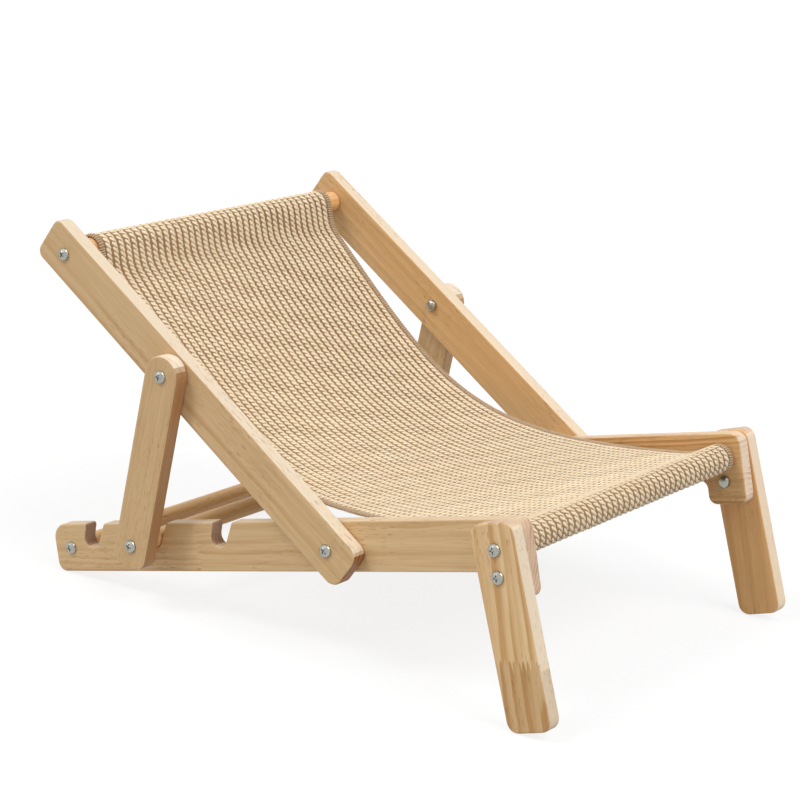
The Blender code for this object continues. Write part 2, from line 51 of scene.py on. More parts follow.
# Light. The sky and the lamps add up to about 1.1 on a level white surface. Each lamp: where it
# stands as a direction from the chair, its strength and how wide it is in degrees.
WHITE = (1, 1, 1, 1)
SKY_LEVEL = 0.41
LAMPS = (
    ("key", (-0.35, -0.50, 0.79), 1.12, 22.0),
    ("fill", (0.60, -0.06, 0.80), 1.54, 40.0),
    ("glint", (-0.62, -0.76, 0.18), 0.17, 12.0),
)
FLOOR_SIZE = 30.0
FLOOR_DROP = 0.0005
FLOOR_COLOUR = 0.52
FLOOR_SEEN_COLOUR = 0.18
FLOOR_GLOW = 0.84

# The sling's layout, as in the CAD. Metres and radians.
SLING_THICKNESS = 0.0035
LAYER_PITCH = 0.0040
SEAT_GAP = 0.0003
HEM_REACH = 0.0265
HEM_TAIL = 0.006
TOP_HEM_DROP = math.radians(21.0)
FRONT_HEM_RISE = math.radians(6.5)
BACK_LEAVING = math.radians(9.5)
SEAT_LEAVING = math.radians(4.7)
BACK_HANDLE = 0.190
SEAT_HANDLE = 0.250

# How finely the strip's middle line is drawn, and how it is rounded off where the hems meet it.
HEM_STEPS = 40
RUN_STEPS = 200
LINE_STEP = 0.00025
LINE_BLUR = 0.0012
KINK_BLUR = 0.005
KINK_REACH = 0.018

# The weave: twisted sisal cords lengthwise, tied by thin cross yarns, with a sewn edge.
CORD_PITCH = 0.0089
CORD_TWIST = 0.0099
CORD_OFFSET = 0.0018
STRAND_RADIUS = 0.00175
CORD_FLATNESS = 0.48
CORD_DRIFT = 0.006
DRIFT_RISE = 0.07
CORD_STEP = 0.00165
CORD_INSET = 0.0006
STRAND_SIDES = 6
YARN_RADIUS = 0.0008
YARN_WAVE = 0.00035
YARN_INSET = 0.001
YARN_SIDES = 4
BACKING_HALF = 0.0003
EDGE_WIDTH = 0.0070
EDGE_HEIGHT = 0.0011
EDGE_SIDES = 12
EDGE_SQUARENESS = 0.6
STITCH_PITCH = 0.0023
THREAD_RADIUS = 0.0005
THREAD_STEPS = 14
THREAD_LEAN = 0.35
THREAD_PROUD = 0.6
SEAM_PITCH = 0.006
SEAM_STEPS = 10
SEAM_HEIGHT = 0.0020
SEAM_SHOWING = (1.35, 1.5)
TINY = 1e-9

# Irregularities. They share three waves, each a pace and a share. A WANDER is a size and the
# length of its slowest wave, and a SEED keeps its waves apart from the others'.
WANDER_WAVES = ((1.0, 0.6), (2.3, 0.3), (5.1, 0.1))
WANDER_SEEDS = (7.3, 1.9)
TWIST_WANDER = (0.65, 0.09)
SIDE_WANDER = (0.00042, 0.07)
GIRTH_WANDER = (0.11, 0.031)
BAND_WANDER = (0.06, 0.023)
THREAD_WANDER = (0.0004, 0.011)
SEAM_WANDER = (0.0003, 0.05)
CORD_SEED = 1000
SIDE_SEED = 3
GIRTH_SEED = 5
BAND_SEED = 2.0
THREAD_SEED = 4.0
SEAM_SEED = 90

# sRGB colours, 0 to 255.
EARLY_WOOD = (240, 209, 162)
LATE_WOOD = (210, 166, 111)
# Painted light on the boards' narrow faces: a painted highlight, and for the props a painted shade.
PAINTED_EDGE_HIGHLIGHT = (248, 236, 216)
PAINTED_EDGE_SHADE = (156, 106, 64)
# End grain's light and dark ring colours, in turn: painted light for the far rail's ends, plain end grain,
# painted shade for the back boards' ends and a painted highlight for the props' rounded ends.
PAINTED_LIT_ENDS = ((244, 222, 196), (196, 150, 126))
BROWN_ENDS = ((226, 196, 164), (182, 138, 112))
PAINTED_SHADE_ENDS = ((164, 106, 60), (108, 65, 33))
PAINTED_HIGHLIGHT_ENDS = ((250, 233, 208), (224, 190, 158))
PORE = (150, 98, 56)
# Painted shade on the walls of the rails' notches.
NOTCH_SHADE = (120, 73, 38)
ZINC = (146, 149, 146)
ZINC_CLOUD = (186, 184, 174)
SISAL = (255, 239, 209)
SISAL_SHADE = (236, 205, 162)
# Painted shade down between a cord's strands.
PAINTED_CREVICE_SHADE = (176, 136, 94)
# The colour the cords turn towards, near the front hem.
FRONT_HEM_TONE = (206, 172, 130)
# The cross yarns are darkened where they show in the gaps between the cords, partly painted shade. The
# ground is a dark sheet under the cords, painted shade in those gaps.
YARN = (192, 156, 112)
YARN_SHADE = (148, 114, 76)
GAP_SHADE_GROUND = (164, 129, 89)
GAP_SHADE_GROUND_DARK = (117, 87, 57)
EDGING = (224, 200, 168)
EDGING_SHADE = (178, 148, 114)

# Pine's noises. Each: how many features go into a metre along the grain, through it and across it,
# then its detail and its roughness.
PINE_NOISES = {
    "bend": ((5.0, 34.0, 34.0), 2.0, 0.5),
    "patch": ((2.0, 60.0, 60.0), 1.0, 0.5),
    "fibre": ((26.0, 900.0, 900.0), 3.0, 0.65),
    "streak": ((4.0, 210.0, 210.0), 2.0, 0.6),
    "cloud": ((9.0, 16.0, 16.0), 2.0, 0.5),
    "dash": ((130.0, 1500.0, 1500.0), 0.0, 0.5),
    "pore": ((40.0, 1400.0, 1400.0), 1.0, 0.5),
}
# Where each effect in pine begins and where it is full, on the scale of what drives it.
END_FACING = (0.48, 0.80)
EDGE_FACING = (0.45, 0.90)
LATE_BEGINS = (0.25, 0.86)
LATE_ENDS = (0.90, 1.0)
LATE_PATCHES = (0.30, 0.72)
PALE_FIBRES = (0.30, 0.75)
DASHES = (0.68, 0.76)
DASH_PATCHES = (0.38, 0.62)
END_PORES = (0.45, 0.75)
GLUE_LINE = (0.0004, 0.0016)
NOTCH_SHADE_FADE = 0.004
# How strongly each effect in pine shows. A pair is a factor and what is added to it.
RING_BEND = 2.1
STREAKS = (1.0, -0.36)
FIBRE_TINT = (0.90, 0.865, 0.81, 1)
GREEN_CAST = -0.42
DASH_SHARE = 0.70
END_LATE = (0.85, 0.05)
END_PORE_SHARE = 0.25
NOTCH_SHADE_CLOUDS = (0.5, 0.35)
JOINT_CAST = (0.8, 1.0, 1.3)
GLUE_SHARE = 0.25
FINGER_SHARPNESS = 1.7
SEED_SHIFT = (0.37, 0.11)
JOINT_SHIFT = (0.031, 0.009, 0.013)
FIBRE_RELIEF = 0.6
LATE_RELIEF = 0.5
DASH_RELIEF = 0.6
PINE_BUMP = (0.28, 0.00035)
PINE_ROUGHNESS = (0.22, 0.40)
PINE_SPECULAR = 0.42

# Zinc's two noises, its roughness by cloud and its bump. Each noise: how many features go into a
# metre, then its detail and its roughness.
ZINC_CLOUDS = (320.0, 3.0, 0.6)
ZINC_SPECKS = (2600.0, 2.0, 0.6)
ZINC_ROUGHNESS = (0.14, 0.20)
ZINC_BUMP = (0.15, 0.0001)

# Each fibre: its light and its dark colour, the colour of the painted shade down between its strands,
# and how many hairs go into a metre along it and into half a turn round it.
FIBRES = {
    "sisal_cord": (SISAL, SISAL_SHADE, PAINTED_CREVICE_SHADE, (900.0, 14.0)),
    "sisal_cross_yarn": (YARN, YARN_SHADE, YARN_SHADE, (900.0, 6.0)),
    "sisal_gap_shade": (GAP_SHADE_GROUND, GAP_SHADE_GROUND_DARK, GAP_SHADE_GROUND_DARK, (1200.0, 60.0)),
    "folded_edge": (EDGING_SHADE, YARN_SHADE, YARN_SHADE, (1400.0, 10.0)),
    "edge_thread": (EDGING, EDGING_SHADE, YARN_SHADE, (1400.0, 4.0)),
}
# The fibre's own noises, as for zinc. The hairs' scale comes from the table above.
HAIRS = (1.0, 3.0, 0.6)
FIBRE_BLOTCHES = (60.0, 2.0, 0.5)
FIBRE_GRIT = (1900.0, 2.0, 0.6)
HAIR_SHADE = 1.1
BLOTCH_SHADE = (0.5, -0.55)
GRIT_SHADE = (0.58, 0.75)
GRIT_SHARE = 0.30
# Where the painted shade between the strands begins and is full, round them, and how strong it is.
CREVICE_SHADE_TURN = (0.30, 0.85)
CREVICE_SHADE_SHARE = 0.40
# Where, before the front hem, the cords begin to darken, over what length, and how much.
FRONT_HEM_LEAD = 0.01
FRONT_HEM_FADE = 0.02
FRONT_HEM_SHARE = 0.20
HAIR_RELIEF = 0.7
GRIT_RELIEF = 0.5
FIBRE_BUMP = (0.6, 0.0004)
FIBRE_ROUGHNESS = 0.82
FIBRE_SPECULAR = 0.25
FIBRE_SHEEN = 0.25


def linear(colour):
    """An sRGB colour of 0 to 255 as linear red, green, blue and alpha."""
    shares = (c / 255 for c in colour)
    return tuple(s / 12.92 if s <= 0.04045 else ((s + 0.055) / 1.055) ** 2.4 for s in shares) + (1,)


def grey(level):
    """A linear grey."""
    return (level, level, level, 1)


def middle(node):
    """The middle of a CAD node's box."""
    low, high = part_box(node)
    return (low + high) / 2


def heading(start, end):
    """The angle of the line between two points, from X towards Z."""
    return math.atan2(end.z - start.z, end.x - start.x)


class Graph:
    """The nodes of a material or a world, with short calls for the kinds that this scene uses."""

    def __init__(self, owner):
        owner.use_nodes = True
        self.owner = owner
        self.tree = owner.node_tree
        self.tree.nodes.clear()

    def add(self, kind, *values, **settings):
        """Adds a node. The values go to its inputs in order, and None leaves one as it is."""
        node = self.tree.nodes.new(kind)
        for setting, value in settings.items():
            setattr(node, setting, value)
        for socket, value in zip(node.inputs, values):
            self.feed(socket, value)
        return node.outputs

    def feed(self, socket, value):
        """Gives an input a value, or the output of another node."""
        if isinstance(value, bpy.types.NodeSocket):
            self.tree.links.new(value, socket)
        elif value is not None:
            socket.default_value = value

    def math(self, operation, *values, clamp=False):
        """One sum, product or other operation."""
        return self.add("ShaderNodeMath", *values, operation=operation, use_clamp=clamp)[0]

    def step(self, value, low, high):
        """0 below low, 1 above high and a smooth rise between."""
        return self.add("ShaderNodeMapRange", value, low, high, 0, 1, interpolation_type="SMOOTHSTEP")[0]

    def noise(self, vector, scale, detail, roughness):
        """Noise at points, whose scale is how many of its features go into a metre."""
        return self.add("ShaderNodeTexNoise", vector, None, scale, detail, roughness)[0]

    def scaled(self, vector, scale):
        """A vector with each of its parts multiplied."""
        return self.add("ShaderNodeMapping", vector, None, None, scale)[0]

    def mix(self, share, first, second, blend="MIX"):
        """Two colours mixed. The slots are a Mix node's share and its colours."""
        node = self.tree.nodes.new("ShaderNodeMix")
        node.data_type = "RGBA"
        node.blend_type = blend
        for slot, value in ((0, share), (6, first), (7, second)):
            self.feed(node.inputs[slot], value)
        return node.outputs[2]

    def bumped(self, height, strength, distance):
        """The normal of a surface with bumps of a height."""
        node = self.tree.nodes.new("ShaderNodeBump")
        node.inputs["Strength"].default_value = strength
        node.inputs["Distance"].default_value = distance
        self.feed(node.inputs["Height"], height)
        return node.outputs[0]

    def surface(self, colour, roughness, normal, **sockets):
        """Ends the tree in a Principled shader and returns the material."""
        shader = self.tree.nodes.new("ShaderNodeBsdfPrincipled")
        self.feed(shader.inputs["Base Color"], colour)
        self.feed(shader.inputs["Roughness"], roughness)
        self.feed(shader.inputs["Normal"], normal)
        for socket, value in sockets.items():
            self.feed(shader.inputs[socket.replace("_", " ")], value)
        self.add("ShaderNodeOutputMaterial", shader.outputs[0])
        return self.owner


def new_material(name):
    """The graph of a new material."""
    return Graph(bpy.data.materials.new(name))


def board_faces(g, normal, turn):
    """How far a point is on a sawn end and on a narrow edge of a board, from 0 to 1."""
    facing = g.add("ShaderNodeMapping", normal, None, turn, vector_type="NORMAL")[0]
    facing_x, _, facing_z = g.add("ShaderNodeSeparateXYZ", facing)[:3]
    end_face = g.step(g.math("ABSOLUTE", facing_x), *END_FACING)
    edge_face = g.step(g.math("ABSOLUTE", facing_z), *EDGE_FACING)
    return end_face, edge_face


def finger_joint(g, x, z, place, length, pitch):
    """1 beyond a finger joint's zigzag and 0 before it, and 1 along its glue."""
    wave = g.math("DIVIDE", g.math("PINGPONG", z, pitch / 2), pitch / 2)
    reach = g.math("MULTIPLY_ADD", g.math("POWER", wave, FINGER_SHARPNESS), length, place)
    past = g.math("SUBTRACT", x, reach)
    beyond = g.math("GREATER_THAN", past, 0.0)
    glue = g.math("SUBTRACT", 1.0, g.step(g.math("ABSOLUTE", past), *GLUE_LINE))
    return beyond, glue


def late_wood(g, y, z, beyond, noises, pith, pitch):
    """The dark part of each year's ring, from 0 to 1. It comes and goes in patches."""
    ring_y = g.math("SUBTRACT", g.math("ADD", y, g.math("MULTIPLY", beyond, JOINT_SHIFT[1])), pith[0])
    ring_z = g.math("SUBTRACT", g.math("ADD", z, g.math("MULTIPLY", beyond, JOINT_SHIFT[2])), pith[1])
    squares = g.math("ADD", g.math("MULTIPLY", ring_y, ring_y), g.math("MULTIPLY", ring_z, ring_z))
    rings = g.math("DIVIDE", g.math("SQRT", squares), pitch)
    year = g.math("FRACT", g.math("MULTIPLY_ADD", noises["bend"], RING_BEND, rings))
    fall = g.math("SUBTRACT", 1.0, g.step(year, *LATE_ENDS))
    late = g.math("MULTIPLY", g.step(year, *LATE_BEGINS), fall)
    return g.math("MULTIPLY", late, g.step(noises["patch"], *LATE_PATCHES))


def sawn_end(g, x, late, noises, ends, shaded_stretch):
    """The colour of a board's end grain, with painted shade on a stretch of the grain, where the notch
    walls are.
    """
    colour = g.mix(g.math("MULTIPLY_ADD", late, *END_LATE), linear(ends[0]), linear(ends[1]))
    pores = g.step(noises["pore"], *END_PORES)
    colour = g.mix(g.math("MULTIPLY", pores, END_PORE_SHARE), colour, linear(PORE))
    if not shaded_stretch:
        return colour
    # Painted shade on the notch walls within that stretch, in clouds.
    first, last = shaded_stretch
    within = g.math("MULTIPLY", g.step(x, first - NOTCH_SHADE_FADE, first), g.step(x, last, last - NOTCH_SHADE_FADE))
    share = g.math("MULTIPLY", within, g.math("MULTIPLY_ADD", noises["cloud"], *NOTCH_SHADE_CLOUDS))
    return g.mix(share, colour, linear(NOTCH_SHADE))


def pine(name, spot, turn, seed, pith, pitch, figure, tone, warmth, edge_light_share,
         edge=PAINTED_EDGE_HIGHLIGHT, ends=BROWN_ENDS, joint=None, shaded_stretch=None):
    """Pine for one board. Its own axes are x along the grain, y through it and z across it.

    spot and turn place the axes, pith is the tree's heart in y and z, pitch the width of a year's
    ring and figure how strongly the rings show. edge and its share paint the narrow faces: a painted
    highlight on most boards, a painted shade on the props. ends colours the sawn ends, some of them
    with painted light, and joint is a finger joint: its place along the grain, the length and the
    pitch of its fingers, and the tone beyond it. The last argument is the stretch of the grain where
    the sawn ends, the notch walls, get painted shade.
    """
    g = new_material(name)
    coords = g.add("ShaderNodeTexCoord")
    shift = -(Euler(turn).to_matrix() @ Vector(spot))
    board = g.add("ShaderNodeMapping", coords["Object"], tuple(shift), turn)[0]
    end_face, edge_face = board_faces(g, coords["Normal"], turn)
    x, y, z = g.add("ShaderNodeSeparateXYZ", board)[:3]
    beyond, glue = finger_joint(g, x, z, *joint[:3]) if joint else (0.0, 0.0)
    seeded = [seed * share for share in SEED_SHIFT]
    offset = g.add("ShaderNodeCombineXYZ", *seeded, g.math("MULTIPLY", beyond, JOINT_SHIFT[0]))[0]
    grain = g.add("ShaderNodeVectorMath", board, offset, operation="ADD")[0]
    noises = {}
    for kind, (scale, detail, roughness) in PINE_NOISES.items():
        noises[kind] = g.noise(g.scaled(grain, scale), 1.0, detail, roughness)
    fibre = noises["fibre"]
    late = late_wood(g, y, z, beyond, noises, pith, pitch)
    dash = g.math("MULTIPLY", g.step(noises["dash"], *DASHES), g.step(noises["cloud"], *DASH_PATCHES))

    streaks = g.math("MULTIPLY_ADD", noises["streak"], *STREAKS)
    dark = g.math("MULTIPLY_ADD", late, figure, streaks, clamp=True)
    colour = g.mix(dark, linear(EARLY_WOOD), linear(LATE_WOOD))
    colour = g.mix(g.step(fibre, *PALE_FIBRES), colour, FIBRE_TINT, "MULTIPLY")
    cast = (tone, tone * warmth ** GREEN_CAST, tone / warmth, 1)
    colour = g.mix(1.0, colour, cast, "MULTIPLY")
    # Narrow faces: a painted highlight, and on the props a painted shade.
    colour = g.mix(g.math("MULTIPLY", edge_face, edge_light_share), colour, linear(edge))
    colour = g.mix(g.math("MULTIPLY", dash, DASH_SHARE), colour, linear(PORE))
    # Sawn ends: plain end grain, and on some boards painted light, shade or highlight.
    colour = g.mix(end_face, colour, sawn_end(g, x, late, noises, ends, shaded_stretch))
    if joint:
        joint_tone = tuple(joint[3] ** power for power in JOINT_CAST) + (1,)
        colour = g.mix(beyond, colour, joint_tone, "MULTIPLY")
        colour = g.mix(g.math("MULTIPLY", glue, GLUE_SHARE), colour, linear(EARLY_WOOD))

    relief = g.math("MULTIPLY_ADD", fibre, FIBRE_RELIEF, g.math("MULTIPLY", late, LATE_RELIEF))
    relief = g.math("SUBTRACT", relief, g.math("MULTIPLY", dash, DASH_RELIEF))
    roughness = g.math("MULTIPLY_ADD", fibre, *PINE_ROUGHNESS)
    return g.surface(colour, roughness, g.bumped(relief, *PINE_BUMP), Specular_IOR_Level=PINE_SPECULAR)


def zinc(name):
    """Zinc plating, bright with faint clouding and specks."""
    g = new_material(name)
    coords = g.add("ShaderNodeTexCoord")
    cloud = g.noise(coords["Object"], *ZINC_CLOUDS)
    specks = g.noise(coords["Object"], *ZINC_SPECKS)
    colour = g.mix(cloud, linear(ZINC), linear(ZINC_CLOUD))
    roughness = g.math("MULTIPLY_ADD", cloud, *ZINC_ROUGHNESS)
    return g.surface(colour, roughness, g.bumped(specks, *ZINC_BUMP), Metallic=1.0)


def sisal(name, darker_from=None):
    """Sisal: hairy plant fibre, with painted shade down between its strands, where they face the cord's
    middle.

    The second argument is the distance along the strip from which the cord turns darker, towards the front
    hem.
    """
    light, shade, crevice_shade, hairs = FIBRES[name]
    g = new_material(name)
    coords = g.add("ShaderNodeTexCoord")
    hair = g.noise(g.scaled(coords["UV"], (*hairs, 1.0)), *HAIRS)
    blotch = g.noise(coords["Object"], *FIBRE_BLOTCHES)
    grit = g.noise(coords["Object"], *FIBRE_GRIT)
    blotches = g.math("MULTIPLY_ADD", blotch, *BLOTCH_SHADE)
    share = g.math("MULTIPLY_ADD", hair, HAIR_SHADE, blotches, clamp=True)
    colour = g.mix(share, linear(light), linear(shade))
    colour = g.mix(g.math("MULTIPLY", g.step(grit, *GRIT_SHADE), GRIT_SHARE), colour, linear(shade))
    along, around = g.add("ShaderNodeSeparateXYZ", coords["UV"])[:2]
    if darker_from:
        darker = g.step(along, darker_from, darker_from + FRONT_HEM_FADE)
        colour = g.mix(g.math("MULTIPLY", darker, FRONT_HEM_SHARE), colour, linear(FRONT_HEM_TONE))
    # Painted shade down between the strands, on their sides that face the cord's middle.
    painted_shade = g.step(around, *CREVICE_SHADE_TURN)
    colour = g.mix(g.math("MULTIPLY", painted_shade, CREVICE_SHADE_SHARE), colour, linear(crevice_shade))
    relief = g.math("MULTIPLY_ADD", hair, HAIR_RELIEF, g.math("MULTIPLY", grit, GRIT_RELIEF))
    return g.surface(colour, FIBRE_ROUGHNESS, g.bumped(relief, *FIBRE_BUMP),
                     Specular_IOR_Level=FIBRE_SPECULAR, Sheen_Weight=FIBRE_SHEEN)


def paint(node, material):
    """Gives a CAD node a material."""
    for slot in NODES[node].material_slots:
        slot.material = material


CROSSBAR = middle("rear_crossbar")
FRONT_DOWEL = middle("front_dowel")
PIVOT = middle("near_pivot_bolt")
TOP_DOWEL = middle("top_dowel")
PROP_PIVOT = middle("near_prop_bolt")
TILT = heading(CROSSBAR, FRONT_DOWEL)
RISE = heading(PIVOT, TOP_DOWEL)
PROP_LINE = heading(PROP_PIVOT, middle("prop_dowel"))
LEG_LINE = heading(FRONT_DOWEL, middle("near_leg_bolt"))

# Each board: where its own axes start, which way they run, and its pine. The far boards' warmer casts are
# partly painted shade, for their inner faces that stand in the chair's shade.
BOARDS = {
    "near_rail": (CROSSBAR, TILT, dict(
        seed=1, pith=(-0.09, 0.055), pitch=0.0042, figure=0.60, tone=0.90, warmth=1.08, edge_light_share=0.35,
        joint=(0.150, 0.008, 0.00435, 0.97), shaded_stretch=(0.008, 0.30))),
    "far_rail": (CROSSBAR, TILT, dict(
        seed=2, pith=(0.0, -0.09), pitch=0.0050, figure=1.50, tone=0.94, warmth=1.38, edge_light_share=0.35,
        ends=PAINTED_LIT_ENDS, shaded_stretch=(0.008, 0.30))),
    "near_front_leg": (FRONT_DOWEL, LEG_LINE, dict(
        seed=3, pith=(-0.055, 0.075), pitch=0.0095, figure=1.45, tone=0.99, warmth=1.08, edge_light_share=0.65,
        joint=(0.090, 0.0095, 0.00435, 0.80))),
    "far_front_leg": (FRONT_DOWEL, LEG_LINE, dict(
        seed=4, pith=(0.085, 0.05), pitch=0.0070, figure=0.35, tone=1.04, warmth=1.60, edge_light_share=0.65)),
    "near_back_board": (PIVOT, RISE, dict(
        seed=5, pith=(-0.10, -0.04), pitch=0.0065, figure=0.50, tone=0.84, warmth=1.12, edge_light_share=0.60,
        ends=PAINTED_SHADE_ENDS)),
    "far_back_board": (PIVOT, RISE, dict(
        seed=6, pith=(0.09, 0.06), pitch=0.0060, figure=0.25, tone=0.92, warmth=1.30, edge_light_share=0.60,
        ends=PAINTED_SHADE_ENDS)),
    "near_prop": (PROP_PIVOT, PROP_LINE, dict(
        seed=7, pith=(-0.085, 0.03), pitch=0.0080, figure=0.45, tone=0.80, warmth=1.16, edge_light_share=0.75,
        edge=PAINTED_EDGE_SHADE, ends=PAINTED_HIGHLIGHT_ENDS)),
    "far_prop": (PROP_PIVOT, PROP_LINE, dict(
        seed=8, pith=(0.08, -0.05), pitch=0.0070, figure=0.40, tone=0.84, warmth=1.18, edge_light_share=0.40,
        edge=PAINTED_EDGE_SHADE, ends=PAINTED_HIGHLIGHT_ENDS)),
}
DOWEL_SEEDS = {"front_dowel": 11, "rear_crossbar": 12, "top_dowel": 13, "prop_dowel": 14}
DOWEL_PINE = dict(pith=(0.03, 0.02), pitch=0.004, figure=0.45, tone=1.06, warmth=1.45, edge_light_share=0.10)
DOWEL_TURN = (0, 0, -math.pi / 2)


def paint_frame():
    """Pine for the boards and dowels, zinc for the screws, bolts and nuts."""
    for board, (spot, line, grain) in BOARDS.items():
        board_spot = (spot.x, middle(board).y, spot.z)
        paint(board, pine("pine_" + board, board_spot, (0, line, 0), **grain))
    for dowel, seed in DOWEL_SEEDS.items():
        paint(dowel, pine("pine_" + dowel, middle(dowel), DOWEL_TURN, seed, **DOWEL_PINE))
    plating = zinc("zinc_plating")
    for node in NODES:
        if node.endswith(("_screw", "_bolt", "_nut")):
            paint(node, plating)


def polar(centre, angle, radius):
    """The point at an angle and distance from another, in the X-Z plane."""
    return (centre[0] + radius * math.cos(angle), centre[1] + radius * math.sin(angle))


def hem(dowel, pull, leave, sense):
    """The strip's middle line from the hem's tail, round the dowel, to the stitching."""
    low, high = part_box(dowel)
    centre = ((low.x + high.x) / 2, (low.z + high.z) / 2)
    wrap_radius = (high.z - low.z) / 2 + SEAT_GAP + SLING_THICKNESS / 2
    reach = math.hypot(HEM_REACH, LAYER_PITCH / 2)
    free = math.acos(wrap_radius / reach) + math.atan2(LAYER_PITCH / 2, HEM_REACH)
    stitches = polar(centre, pull, HEM_REACH)
    foot = polar(stitches, pull + sense * math.pi / 2, LAYER_PITCH / 2)
    start = pull + sense * free
    sweep = sense * 2 * (math.pi - free)
    wrap = [polar(centre, start + sweep * i / HEM_STEPS, wrap_radius) for i in range(HEM_STEPS + 1)]
    stitched = polar(stitches, pull - sense * math.pi / 2, LAYER_PITCH / 2)
    return [polar(foot, leave, HEM_TAIL), foot] + wrap + [stitched]


def ramp(share):
    """A smooth rise from 0 to 1 as share goes from 0 to 1."""
    share = np.clip(share, 0, 1)
    return share * share * (3 - 2 * share)


def blurred(rows, width):
    """Rows of values along the strip, smoothed over a width, with the ends kept."""
    reach = int(3 * width / LINE_STEP)
    bell = np.exp(-0.5 * (np.arange(-reach, reach + 1) * LINE_STEP / width) ** 2)
    before = 2 * rows[:, :1] - rows[:, reach:0:-1]
    after = 2 * rows[:, -1:] - rows[:, -2:-reach - 2:-1]
    padded = np.hstack([before, rows, after])
    return np.stack([np.convolve(row, bell / bell.sum(), "valid") for row in padded])


class Strip:
    """The sling's middle line, from the top hem's tail to the front hem's, by distance along it."""

    def __init__(self):
        top_leave = RISE + math.pi - BACK_LEAVING
        front_leave = TILT + math.pi - SEAT_LEAVING
        top = hem("top_dowel", RISE + math.pi - TOP_HEM_DROP, top_leave, -1)
        front = hem("front_dowel", TILT + math.pi - FRONT_HEM_RISE, front_leave, 1)
        knots = np.array([
            top[-1],
            polar(top[-1], top_leave, BACK_HANDLE),
            polar(front[-1], front_leave, SEAT_HANDLE),
            front[-1],
        ])
        t = np.linspace(0, 1, RUN_STEPS + 1)[1:-1, None]
        shares = np.hstack([(1 - t) ** 3, 3 * t * (1 - t) ** 2, 3 * t * t * (1 - t), t ** 3])
        line = np.vstack([top, shares @ knots, front[::-1]])
        at = np.concatenate([[0], np.cumsum(np.hypot(*np.diff(line, axis=0).T))])
        self.length = at[-1]
        self.at = np.arange(0, self.length, LINE_STEP)
        even = np.stack([np.interp(self.at, at, line[:, axis]) for axis in (0, 1)])
        self.open = (at[len(top) - 1], at[-len(front)])
        from_kink = np.minimum(*(np.abs(self.at - stitched) for stitched in self.open))
        soften = ramp(1 - from_kink / KINK_REACH)
        self.line = blurred(even, LINE_BLUR) * (1 - soften) + blurred(even, KINK_BLUR) * soften
        run = np.gradient(self.line, LINE_STEP, axis=1)
        run /= np.hypot(*run)
        self.across = np.stack([-run[1], run[0]])

    def place(self, along, side, height):
        """Points in the scene from distances along the strip, across it and off its middle line."""
        along, side, height = np.broadcast_arrays(along, side, height)
        x, z = (np.interp(along, self.at, row) for row in self.line)
        nx, nz = (np.interp(along, self.at, row) for row in self.across)
        return np.stack([x + nx * height, side, z + nz * height], axis=-1)


def circle(sides, first=0.0):
    """The angles of points evenly round a circle. first is the first one's, in steps."""
    return (np.arange(sides) + first) * 2 * np.pi / sides


def skin(name, rings, material, along):
    """A mesh from rings of points, an array of tubes x rings x points x 3, closed at both ends.

    Its UV map holds the distance along and how far round a point is, 0 outermost and 1 innermost.
    """
    tubes, count, sides = rings.shape[:3]
    index = np.arange(tubes * count * sides).reshape(tubes, count, sides)
    near, far = index[:, :-1], index[:, 1:]
    quads = np.stack([near, np.roll(near, -1, 2), np.roll(far, -1, 2), far], -1).reshape(-1, 4)
    points = rings.reshape(-1, 3)
    a, b, c, d = (points[quads[:, i]] - points.mean(0) for i in range(4))
    volume = np.einsum("ij,ij->", np.cross(a, b), c) + np.einsum("ij,ij->", np.cross(a, c), d)
    ends = np.concatenate([index[:, 0, ::-1], index[:, -1]])
    turn = -1 if volume < 0 else 1
    faces = quads[:, ::turn].tolist() + ends[:, ::turn].tolist()
    mesh = bpy.data.meshes.new(name)
    mesh.from_pydata(points.tolist(), [], faces)
    mesh.shade_smooth()
    around = np.broadcast_to((1 - np.cos(circle(sides))) / 2, (tubes, count, sides))
    length = np.broadcast_to(along[..., None], (tubes, count, sides))
    spots = np.stack([length.ravel(), around.ravel()], -1)
    corners = np.empty(len(mesh.loops), np.int32)
    mesh.loops.foreach_get("vertex_index", corners)
    layer = mesh.uv_layers.new(name="run")
    layer.data.foreach_set("uv", spots[corners].astype(np.float32).ravel())
    mesh.materials.append(material)
    piece = bpy.data.objects.new(name, mesh)
    bpy.context.collection.objects.link(piece)
    return piece


def wander(along, seeds, size, wave):
    """A slow smooth irregularity along each line. wave is the length of its slowest wave."""
    total = 0
    for pace, share in WANDER_WAVES:
        phase = seeds * (WANDER_SEEDS[0] * pace + WANDER_SEEDS[1])
        total = total + share * np.sin(2 * np.pi * along * pace / wave + phase)
    return size * total


def rings_about(centre, core, radius, sides):
    """Offsets of rings of points round lines that wind about their cores, the first one outermost."""
    run = np.gradient(centre, axis=1)
    run /= np.linalg.norm(run, axis=2, keepdims=True)
    outward = centre - core + TINY
    outward -= run * np.sum(outward * run, axis=2, keepdims=True)
    outward /= np.linalg.norm(outward, axis=2, keepdims=True)
    sideways = np.cross(run, outward)
    turn = circle(sides)[:, None]
    return (outward[:, :, None] * np.cos(turn) + sideways[:, :, None] * np.sin(turn)) * radius


def thread_skin(name, centre, core, material, along):
    """A thread round the lines that its middle follows."""
    rings = centre[:, :, None] + rings_about(centre, core, THREAD_RADIUS, STRAND_SIDES)
    return skin(name, rings, material, along)


